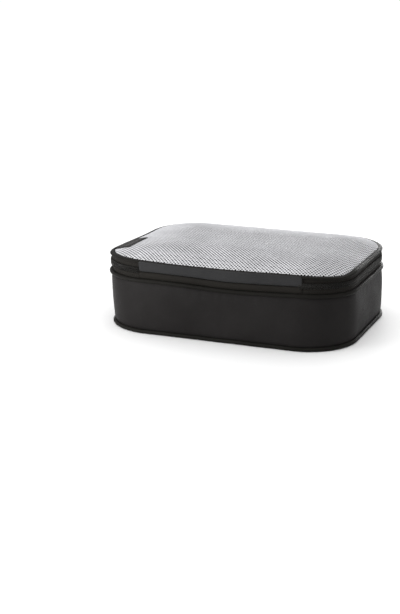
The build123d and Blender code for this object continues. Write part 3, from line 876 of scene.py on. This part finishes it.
# ---------------------------------------------------------------- rolled binding of the lid
ROLL = [(-2.2, LID_Z0 + 0.1), (-0.2, LID_Z0), (0.9, LID_Z0 + 0.4), (1.55, LID_Z0 + 1.2), (1.5, LID_Z0 + 2.0), (0.8, LID_Z0 + 2.65), (-0.4, LID_Z0 + 2.95),
        (-2.0, LID_Z0 + 3.05), (-3.6, LID_Z0 + 3.15), (-4.7, LID_Z0 + 2.95), (-5.0, LID_Z0 + 2.35), (-4.2, LID_Z0 + 1.5)]
rw = 1 + 0.035 * wave(SALL, 13, 91) + 0.02 * wave(SALL, 5, 93)
rz = 0.16 * wave(SALL, 90, 95)
pr = []
cx, cz = -1.4, LID_Z0 + 1.8
for i in range(NS):
    pr.append([(cx + (d - cx) * rw[i], cz + (z - cz) * rw[i] + rz[i]) for d, z in ROLL])
roll = skin("lid_roll", SALL, pr, mat=M_WELT)
sub = roll.modifiers.new("smooth", "SUBSURF")
sub.levels = sub.render_levels = 1
stitch_row("thread_roll", 0, PER, -3.1, LID_Z0 + 3.12, (0, 1), pitch=3.0, length=2.2, width=0.38, mat=M_THREAD, body="lid")
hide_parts("lid_binding")
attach(roll, "lid")

# ---------------------------------------------------------------- crowned mesh
MZ = LID_Z0 + 3.0                       # height of the mesh at the roll
RISE = CROWN_TOP - LID_Z0 - 4.5
NC = 132
SC = np.arange(NC) * PER / NC
Pc, Nc = at(SC)
MEDGE = MESH_D + 1.2                    # the mesh's edge is sewn into the roll
Ec = Pc + Nc * MEDGE


def inward(x, y):
    """Distance inside the mesh's visible edge, in millimetres."""
    r = R + MEDGE
    qx = np.abs(x) - (HX + MEDGE - r)
    qy = np.abs(y) - (HY + MEDGE - r)
    return -(np.minimum(np.maximum(qx, qy), 0) + np.hypot(np.maximum(qx, 0), np.maximum(qy, 0)) - r)


def crown_z(x, y, rise=RISE):
    v = inward(x, y)
    t = np.clip((v - 1.2) / 64.6, 0, 1)
    return LID_Z0 + 3.4 + 0.8 * np.minimum(v - 1.2, 0) + rise * (1 - (1 - t) ** 2.0)


fr = np.concatenate([[1.0, 0.985], np.linspace(0.955, 0.10, 22)])
Vc, Fc = [], []
rim_c = along(SC, RIM)
for f in fr:
    core = np.stack([np.clip(Ec[:, 0], -(HX - HY), HX - HY), np.zeros(NC)], 1)
    Q = core + (Ec - core) * f
    zq = crown_z(Q[:, 0], Q[:, 1]) + rim_c * np.exp(-np.maximum(inward(Q[:, 0], Q[:, 1]), 0) / 18.0)
    Vc += [(q[0], q[1], z) for q, z in zip(Q, zq)]
for r_ in range(len(fr) - 1):
    for i in range(NC):
        j = (i + 1) % NC
        Fc.append((r_ * NC + i, r_ * NC + j, (r_ + 1) * NC + j, (r_ + 1) * NC + i))
last = (len(fr) - 1) * NC
Fc += across(last, NC)
pinc = np.zeros(len(Vc))
pinc[:2 * NC] = 1.0
Vc = np.array(Vc)
Vc = Vc + 0.4 * (simulate(Vc, Fc, pinc, pressure=1.5, shrink=-0.004, frames=16, stiff=20, bend=1.0, cap=1.6) - Vc)
bv = BVHTree.FromPolygons([tuple(v) for v in Vc], Fc)


def surface(x, y):
    hit = bv.ray_cast(Vector((x, y, 400.0)), Vector((0, 0, -1.0)))
    if hit[0] is None:
        return None
    return hit[0].z, hit[1]


# honeycomb of knitted yarn, its rows at 45 degrees to the sides
PITCH = 3.58
HOLE = 0.97                             # circumradius of a hole
YARN = 0.40                             # half thickness of the yarn
ca, sa = math.cos(math.radians(-45)), math.sin(math.radians(-45))
hexr = PITCH / math.sqrt(3)
verts, faces = [], []
index = {}


def corner(x, y, kind):
    key = (round(x * 50), round(y * 50), kind)
    if key in index:
        return index[key]
    s = surface(x, y)
    if s is None:
        z = float(crown_z(np.array([x]), np.array([y]))[0]) + rim_c[np.argmin((Ec[:, 0] - x) ** 2 + (Ec[:, 1] - y) ** 2)]
        nv = Vector((0, 0, 1))
    else:
        z, nv = s
        if nv.z < 0:
            nv = -nv
    h = {0: 0.0, 1: YARN, 2: -YARN}[kind]
    p = (x + nv.x * h, y + nv.y * h, z + nv.z * h)
    verts.append(p)
    index[key] = len(verts) - 1
    return index[key]


nmax = int(HX * 2.2 / PITCH)
rng = np.random.default_rng(7)
for a in range(-nmax, nmax + 1):
    for b_ in range(-nmax, nmax + 1):
        gx = PITCH * (a + 0.5 * b_)
        gy = PITCH * math.sqrt(3) / 2 * b_
        x, y = gx * ca - gy * sa, gx * sa + gy * ca
        if abs(x) > HX or abs(y) > HY:
            continue
        if inward(x, y) < -0.2:
            continue
        outer, outer2, hole = [], [], []
        hr = HOLE * (1 + 0.05 * math.sin(a * 1.7 + b_ * 2.3))
        for k in range(6):
            t = math.radians(60 * k + 30)
            ox, oy = hexr * math.cos(t), hexr * math.sin(t)
            hx_, hy_ = hr * math.cos(t), hr * math.sin(t)
            ox, oy = ox * ca - oy * sa, ox * sa + oy * ca
            hx_, hy_ = hx_ * ca - hy_ * sa, hx_ * sa + hy_ * ca
            outer.append(corner(x + ox, y + oy, 1))
            outer2.append(corner(x + ox, y + oy, 2))
            hole.append(corner(x + hx_, y + hy_, 0))
        for k in range(6):
            l = (k + 1) % 6
            faces.append((outer[k], outer[l], hole[l], hole[k]))
            faces.append((outer2[l], outer2[k], hole[k], hole[l]))
# close the outer rim of the net
V = np.array(verts)
edges = {}
for f in faces:
    for q in range(4):
        e = (f[q], f[(q + 1) % 4])
        edges[e] = edges.get(e, 0) + 1
pair = {}
for key, v in index.items():
    if key[2] in (1, 2):
        pair.setdefault((key[0], key[1]), {})[key[2]] = v
low_of = {v[1]: v[2] for v in pair.values() if 1 in v and 2 in v}
for e in list(edges):
    if (e[1], e[0]) not in edges and e[0] in low_of and e[1] in low_of:
        faces.append((e[1], e[0], low_of[e[0]], low_of[e[1]]))
net = make_obj("mesh_net", V, faces, None, True, M_MESH)
fix_normals(net)
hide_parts("mesh_panel")
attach(net, "lid")

# ---------------------------------------------------------------- fold strip
# the strip is creased at the height of the zipper: a puffed upper half, and a flat lower half that carries on the lower tape
SL, SR = -STRIP - 0.6, STRIP + 4.8
GZ = ZC - 0.9                           # height of the crease


def fold_part(name, prof, thick, mat, seed, amp, hem):
    n = int((SR - SL) / 2.4)
    SF = np.linspace(SL, SR, n)
    w1, w2 = wave(SF, 34, seed), wave(SF, 12, seed + 2)
    pr = []
    m_ = len(prof)
    for i, s_ in enumerate(SF):
        e = min(1.0, min(s_ - SL, SR - s_) / 3.2)
        lift = hem * (1 - e ** 3)       # the hem at each end is a double fold
        out, inn = [], []
        for k, (d, z) in enumerate(prof):
            f = math.sin(math.pi * k / (m_ - 1))
            dd = d + f * amp * (w1[i] + 0.5 * w2[i]) + lift * f
            zz = z + f * 0.12 * w2[i]
            out.append((dd, zz))
            inn.append((dd - thick - lift, zz))
        pr.append(out + inn[::-1])
    o = skin(name, SF, pr, closed=False, mat=mat)
    sub = o.modifiers.new("smooth", "SUBSURF")
    sub.levels = sub.render_levels = 1
    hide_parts("hinge_strip")
    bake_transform(o)
    return o


UP = [(-1.5, GZ - 0.35), (-0.9, GZ - 0.05), (0.05, GZ + 0.45), (0.75, GZ + 1.6), (1.0, GZ + 3.2), (1.15, GZ + 5.2), (1.35, GZ + 7.4), (1.75, GZ + 9.2), (1.85, GZ + 10.2), (1.35, GZ + 10.75)]
LOW = [(-0.9, WM_Z + 1.8), (-0.35, WM_Z + 2.5), (0.15, WM_Z + 3.8), (0.40, WM_Z + 5.6), (0.40, WM_Z + 7.4), (0.05, WM_Z + 8.8), (-0.6, WM_Z + 9.6), (-1.3, WM_Z + 9.9)]
strip = fold_part("fold_strip", UP, 0.7, M_STRIP, 101, 0.20, 0.35)
strip2 = fold_part("fold_strip_lower", LOW, 0.6, M_TAPE, 111, 0.10, 0.10)


# ---------------------------------------------------------------- side label
def label():
    j = JOINT["label_flip"]
    p0 = np.array(j["pos_m"]) * 1000
    a, b = nbox("side_label")
    width = b[1] - a[1]
    run = b[0] - a[0]
    tilt = math.atan2(b[2] - a[2] - 0.77, run)
    length = 17.0
    nu, nv = 24, 16
    V, faces, uv = [], [], []
    th = 0.32

    def pt(u, v, side):
        # u across, v from the sewn edge
        x = p0[0] + v * math.cos(tilt)
        n = (-math.sin(tilt), math.cos(tilt))
        bend = 0.10 * math.sin(u / width * 7.0) * v / length
        return (x + n[0] * th * side, p0[1] + u, rest(v) + bend + n[1] * th * side)

    # the label lies on the mesh: its height follows the highest part of the mesh under each line across it
    V0 = -1.8                          # sewn end, inside the roll
    vk = np.linspace(V0, length, 14)
    hk = []
    for v in vk:
        x = p0[0] + v * math.cos(tilt)
        h = [surface(x, p0[1] + u) for u in np.linspace(-width / 2, width / 2, 9)]
        hk.append(max([q[0] for q in h if q is not None] + [LID_Z1 - 1.6]) + YARN + th + 0.10)
    hk = np.maximum.accumulate(np.array(hk))

    def rest(v):
        return float(np.interp(v, vk, hk))

    us = np.linspace(-width / 2, width / 2, nu)
    vs = np.concatenate([[V0, -1.2, -0.6, 0.0, 0.6, 1.3], np.linspace(2.4, length, nv - 6)])
    for side in (1, -1):
        for v in vs:
            for u in us:
                V.append(pt(u, v, side))
    n1 = nu * nv
    for q in range(nv - 1):
        for r in range(nu - 1):
            for base in (0, n1):
                f = (base + q * nu + r, base + q * nu + r + 1, base + (q + 1) * nu + r + 1, base + (q + 1) * nu + r)
                faces.append(f)
                uv += [(us[r], vs[q]), (us[r + 1], vs[q]), (us[r + 1], vs[q + 1]), (us[r], vs[q + 1])]
    rim = [(0, r) for r in range(nu)] + [(q, nu - 1) for q in range(1, nv)] + [(nv - 1, r) for r in range(nu - 2, -1, -1)] + [(q, 0) for q in range(nv - 2, 0, -1)]
    for i in range(len(rim)):
        (q, r), (q2, r2) = rim[i], rim[(i + 1) % len(rim)]
        faces.append((q * nu + r, q2 * nu + r2, n1 + q2 * nu + r2, n1 + q * nu + r))
        uv += [(us[r], vs[q]), (us[r2], vs[q2]), (us[r2], vs[q2]), (us[r], vs[q])]
    o = fix_normals(make_obj("woven_label", V, faces, np.array(uv) * MM, True, M_LABEL))
    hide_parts("side_label")
    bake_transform(o)


label()


# ---------------------------------------------------------------- sliders and pulls
def solid_from(name, outline_pts, y0, y1, bevel, mat):
    """A plate in the plane of the back wall: outline (x, z) in millimetres, from depth y0 to y1, with rounded edges."""
    bm = bmesh.new()
    vs = [bm.verts.new((x * MM, y0 * MM, z * MM)) for x, z in outline_pts]
    f = bm.faces.new(vs)
    r = bmesh.ops.extrude_face_region(bm, geom=[f])
    ex = [g for g in r["geom"] if isinstance(g, bmesh.types.BMVert)]
    bmesh.ops.translate(bm, verts=ex, vec=(0, (y1 - y0) * MM, 0))
    bmesh.ops.recalc_face_normals(bm, faces=bm.faces)
    sharp = [e for e in bm.edges if len(e.link_faces) == 2 and e.calc_face_angle(0) > 1.2]
    if bevel > 0:
        bmesh.ops.bevel(bm, geom=sharp, offset=bevel * MM, segments=3, profile=0.7, affect="EDGES", clamp_overlap=True)
    me = bpy.data.meshes.new(name)
    bm.to_mesh(me)
    bm.free()
    me.polygons.foreach_set("use_smooth", [True] * len(me.polygons))
    o = bpy.data.objects.new(name, me)
    bpy.context.scene.collection.objects.link(o)
    me.materials.append(mat)
    return o


def joined(name, objs):
    bm = bmesh.new()
    for o in objs:
        bm.from_mesh(o.data)
    me = bpy.data.meshes.new(name)
    bm.to_mesh(me)
    bm.free()
    me.materials.append(objs[0].data.materials[0])
    me.polygons.foreach_set("use_smooth", [True] * len(me.polygons))
    for o in objs:
        bpy.data.objects.remove(o)
    o = bpy.data.objects.new(name, me)
    bpy.context.scene.collection.objects.link(o)
    return o


def rounded(pts, r, n=5):
    """Rounds the corners of a closed outline."""
    pts = [np.array(p, float) for p in pts]
    out = []
    m = len(pts)
    for i in range(m):
        p, a, b = pts[i], pts[i - 1], pts[(i + 1) % m]
        u, v = a - p, b - p
        lu, lv = np.linalg.norm(u), np.linalg.norm(v)
        q = min(r, lu * 0.45, lv * 0.45)
        s, e = p + u / lu * q, p + v / lv * q
        for t in np.linspace(0, 1, n):
            out.append((1 - t) ** 2 * s + 2 * t * (1 - t) * p + t * t * e)
    return [tuple(p) for p in out]


def slider(name, node, pull_name, pull_node, body, pull_body, joint, nose):
    a, b = nbox(node)
    xc = (a[0] + b[0]) / 2
    hl, hh = (b[0] - a[0]) / 2, (b[2] - a[2]) / 2
    bar = np.array(JOINT[joint]["pos_m"]) * 1000
    # body outline: broad shoulders at the nose, narrower at the tail
    side = [(nose * hl, hh * 0.55), (nose * hl * 0.62, hh), (-nose * hl * 0.25, hh * 0.92), (-nose * hl, hh * 0.66),
            (-nose * hl, -hh * 0.66), (-nose * hl * 0.25, -hh * 0.92), (nose * hl * 0.62, -hh), (nose * hl, -hh * 0.55)]
    ol = [(xc + x, ZC + z) for x, z in rounded(side, 1.5)]
    yo0 = HY + 1.35
    plate = solid_from("p1", ol, yo0, yo0 + 1.05, 0.32, M_METAL)
    inner = solid_from("p2", ol, HY - 2.9, HY - 1.95, 0.28, M_METAL)
    wedge = solid_from("p3", rounded([(xc + nose * 4.4, ZC), (xc + nose * 2.6, ZC + 0.42), (xc + nose * 0.8, ZC), (xc + nose * 2.6, ZC - 0.42)], 0.2, 3), HY - 2.1, yo0 + 0.3, 0.0, M_METAL)
    lip = solid_from("p4", rounded([(xc - 3.2, ZC - hh + 0.05), (xc + 3.2, ZC - hh + 0.05), (xc + 3.2, ZC - hh + 0.85), (xc - 3.2, ZC - hh + 0.85)], 0.3, 3), HY - 0.2, yo0 + 0.4, 0.12, M_METAL)
    # bridge: one bent bar standing on two feet
    t = np.linspace(0, 1, 25)
    bx = xc + 3.5 * np.cos(np.pi * (1 - t))
    prof_y = np.minimum(1.0, np.sin(np.pi * t) * 2.4)
    by = yo0 + 0.6 + (bar[1] - yo0 - 0.6) * prof_y
    path = np.stack([bx, by, np.full(25, ZC)], 1)
    br = tube("p5", path, 0.62, 8, False, M_METAL)
    o = joined(name, [plate, inner, wedge, lip, br])
    fix_normals(o)
    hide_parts(node)
    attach(o, body)
    # pull: a bent eye round the bar and a tab with a long window
    pa, pb = nbox(pull_node)
    zt, zb = bar[2], pa[2]
    outl = rounded([(xc - 1.6, zt - 0.2), (xc + 1.6, zt - 0.2), (xc + 1.7, zt - 3.4), (xc + 3.5, zt - 7.2), (xc + 3.6, zb + 3.0), (xc + 2.2, zb + 0.1),
                    (xc - 2.2, zb + 0.1), (xc - 3.6, zb + 3.0), (xc - 3.5, zt - 7.2), (xc - 1.7, zt - 3.4)], 1.6, 5)
    hz0, hz1 = zb + 3.4, zb + 11.6
    hole = rounded([(xc - 1.5, hz0), (xc + 1.5, hz0), (xc + 1.5, hz1), (xc - 1.5, hz1)], 1.45, 5)
    # plate with a window: bridge the two outlines ring by ring
    def ring(pts, n):
        p = np.array(pts + [pts[0]])
        d = np.concatenate([[0], np.cumsum(np.linalg.norm(np.diff(p, axis=0), axis=1))])
        s = np.linspace(0, d[-1], n, endpoint=False)
        return np.stack([np.interp(s, d, p[:, 0]), np.interp(s, d, p[:, 1])], 1)

    def by_angle(pts, c, angs):
        p = ring(pts, 720)
        an = np.arctan2(p[:, 1] - c[1], p[:, 0] - c[0])
        out = []
        for q in angs:
            k = np.argmin(np.abs(np.angle(np.exp(1j * (an - q)))))
            out.append(p[k])
        return np.array(out)

    c0 = np.array([xc, (hz0 + hz1) / 2])
    n = 72
    dense = ring(outl, n)
    angs = np.arctan2(dense[:, 1] - c0[1], dense[:, 0] - c0[0])
    inner_r = by_angle(hole, c0, angs)
    bev, th = 0.28, 0.6
    yb = bar[1]

    def inset(p, q, k):
        v = q - p
        return p + v / np.maximum(np.linalg.norm(v, axis=1), 1e-6)[:, None] * k

    layers = [(inset(dense, inner_r, bev), th), (dense, th - bev), (dense, -th + bev), (inset(dense, inner_r, bev), -th),
              (inset(inner_r, dense, bev), -th), (inner_r, -th + bev), (inner_r, th - bev), (inset(inner_r, dense, bev), th)]
    V, F = [], []
    for pts, dy in layers:
        V += [(p[0], yb + dy, p[1]) for p in pts]
    m = len(layers)
    for q in range(m):
        for i in range(n):
            j = (i + 1) % n
            F.append((q * n + i, q * n + j, ((q + 1) % m) * n + j, ((q + 1) % m) * n + i))
    tab = fix_normals(make_obj("t1", V, F, None, True, M_METAL))
    ang = np.linspace(0, 2 * np.pi, 25)[:-1]
    V, F = [], []
    sec = [(-1.6, 1.25), (-1.35, 1.5), (1.35, 1.5), (1.6, 1.25), (1.6, 0.95), (1.4, 0.85), (-1.4, 0.85), (-1.6, 0.95)]
    for x, r in sec:
        V += [(xc + x, yb + r * math.cos(t_), ZC + r * math.sin(t_)) for t_ in ang]
    for q in range(len(sec)):
        for i in range(24):
            j = (i + 1) % 24
            F.append((q * 24 + i, q * 24 + j, ((q + 1) % len(sec)) * 24 + j, ((q + 1) % len(sec)) * 24 + i))
    eye = fix_normals(make_obj("t2", V, F, None, True, M_METAL))
    o2 = joined(pull_name, [tab, eye])
    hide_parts(pull_node)
    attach(o2, pull_body)


slider("slider_body_left", "slider_left", "pull_tab_left", "pull_left", "slider_l", "tab_l", "pull_left_swing", -1)
slider("slider_body_right", "slider_right", "pull_tab_right", "pull_right", "slider_r", "tab_r", "pull_right_swing", 1)

# ---------------------------------------------------------------- floor, light, camera
fl = bpy.data.meshes.new("floor")
fl.from_pydata([(-30, -30, 0), (30, -30, 0), (30, 30, 0), (-30, 30, 0)], [], [(0, 1, 2, 3)])
floor = bpy.data.objects.new("floor", fl)
bpy.context.scene.collection.objects.link(floor)
fm, fnt, fb = nodes_of("floor_white")
fb.inputs["Base Color"].default_value = (0.92, 0.92, 0.92, 1)
fb.inputs["Roughness"].default_value = 0.7
fb.inputs["Specular IOR Level"].default_value = 0.2
fl.materials.append(fm)

sc = bpy.context.scene
sc.view_settings.view_transform = "Standard"
sc.view_settings.look = "None"
WORLD_0, WORLD_UP, WORLD_X, WORLD_Y = 0.15, 1.40, -0.20, 0.0
world = bpy.data.worlds.new("studio")
sc.world = world
world.use_nodes = True
wt = world.node_tree
bg = wt.nodes["Background"]
gen = wt.nodes.new("ShaderNodeTexCoord").outputs["Generated"]
sep = wt.nodes.new("ShaderNodeSeparateXYZ")
wt.links.new(gen, sep.inputs[0])
up_ = math_(wt, "POWER", math_(wt, "MAXIMUM", sep.outputs[2], 0.0), 0.8)
az = math_(wt, "ADD", math_(wt, "MULTIPLY", sep.outputs[0], WORLD_X), math_(wt, "MULTIPLY", sep.outputs[1], WORLD_Y))
st = math_(wt, "MAXIMUM", math_(wt, "ADD", math_(wt, "ADD", math_(wt, "MULTIPLY", up_, WORLD_UP), az), WORLD_0), 0.05)
below = math_(wt, "MULTIPLY", math_(wt, "LESS_THAN", sep.outputs[2], -0.01), 0.85)
seen = wt.nodes.new("ShaderNodeLightPath").outputs["Is Camera Ray"]
lit = math_(wt, "MULTIPLY", math_(wt, "ADD", st, below), math_(wt, "SUBTRACT", 1.0, seen))
wt.links.new(math_(wt, "ADD", lit, math_(wt, "MULTIPLY", seen, 1.02)), bg.inputs[1])
bg.inputs[0].default_value = (1, 1, 1, 1)


def area(name, loc, target, size, power, color=(1, 1, 1)):
    l = bpy.data.lights.new(name, "AREA")
    l.shape = "RECTANGLE"
    l.size, l.size_y = size
    l.energy = power
    l.color = color
    o = bpy.data.objects.new(name, l)
    sc.collection.objects.link(o)
    o.location = loc
    o.rotation_euler = (Vector(target) - Vector(loc)).to_track_quat("-Z", "Y").to_euler()
    return o


area("key_left", (-0.50, -0.54, 0.11), (-0.06, -0.08, 0.04), (0.34, 0.14), 4.0)
area("fill_back", (0.02, 0.72, 0.13), (0.0, 0.08, 0.04), (0.50, 0.14), 2.6)
area("strip_right", (0.70, -0.07, 0.08), (0.12, -0.06, 0.04), (0.06, 0.26), 0.5)
area("rim_right", (0.32, 0.60, 0.12), (0.13, 0.05, 0.04), (0.24, 0.20), 0.2)

# camera: long lens from the front right, as the photographer stood
F_PX, YAW, PITCH_, ROLL_, TX, TY, DIST = 1391.79, 22.85, 16.91, -0.75, -57.18, 11.22, 1604.5
a, e, r = (math.radians(x) for x in (YAW, PITCH_, ROLL_))
back = Vector((math.sin(a) * math.cos(e), -math.cos(a) * math.cos(e), math.sin(e)))
right = Vector((math.cos(a), math.sin(a), 0))
up = back.cross(right)
right2 = right * math.cos(r) + up * math.sin(r)
up2 = -right * math.sin(r) + up * math.cos(r)
loc = (back * DIST + right2 * TX + up2 * TY) * MM
cam = bpy.data.cameras.new("camera")
cam.lens = F_PX * 36.0 / 614.0
cam.sensor_width = 36.0
cam.clip_start, cam.clip_end = 0.01, 50
co = bpy.data.objects.new("camera", cam)
sc.collection.objects.link(co)
co.matrix_world = Matrix(((right2.x, up2.x, back.x, loc.x), (right2.y, up2.y, back.y, loc.y), (right2.z, up2.z, back.z, loc.z), (0, 0, 0, 1)))
sc.camera = co
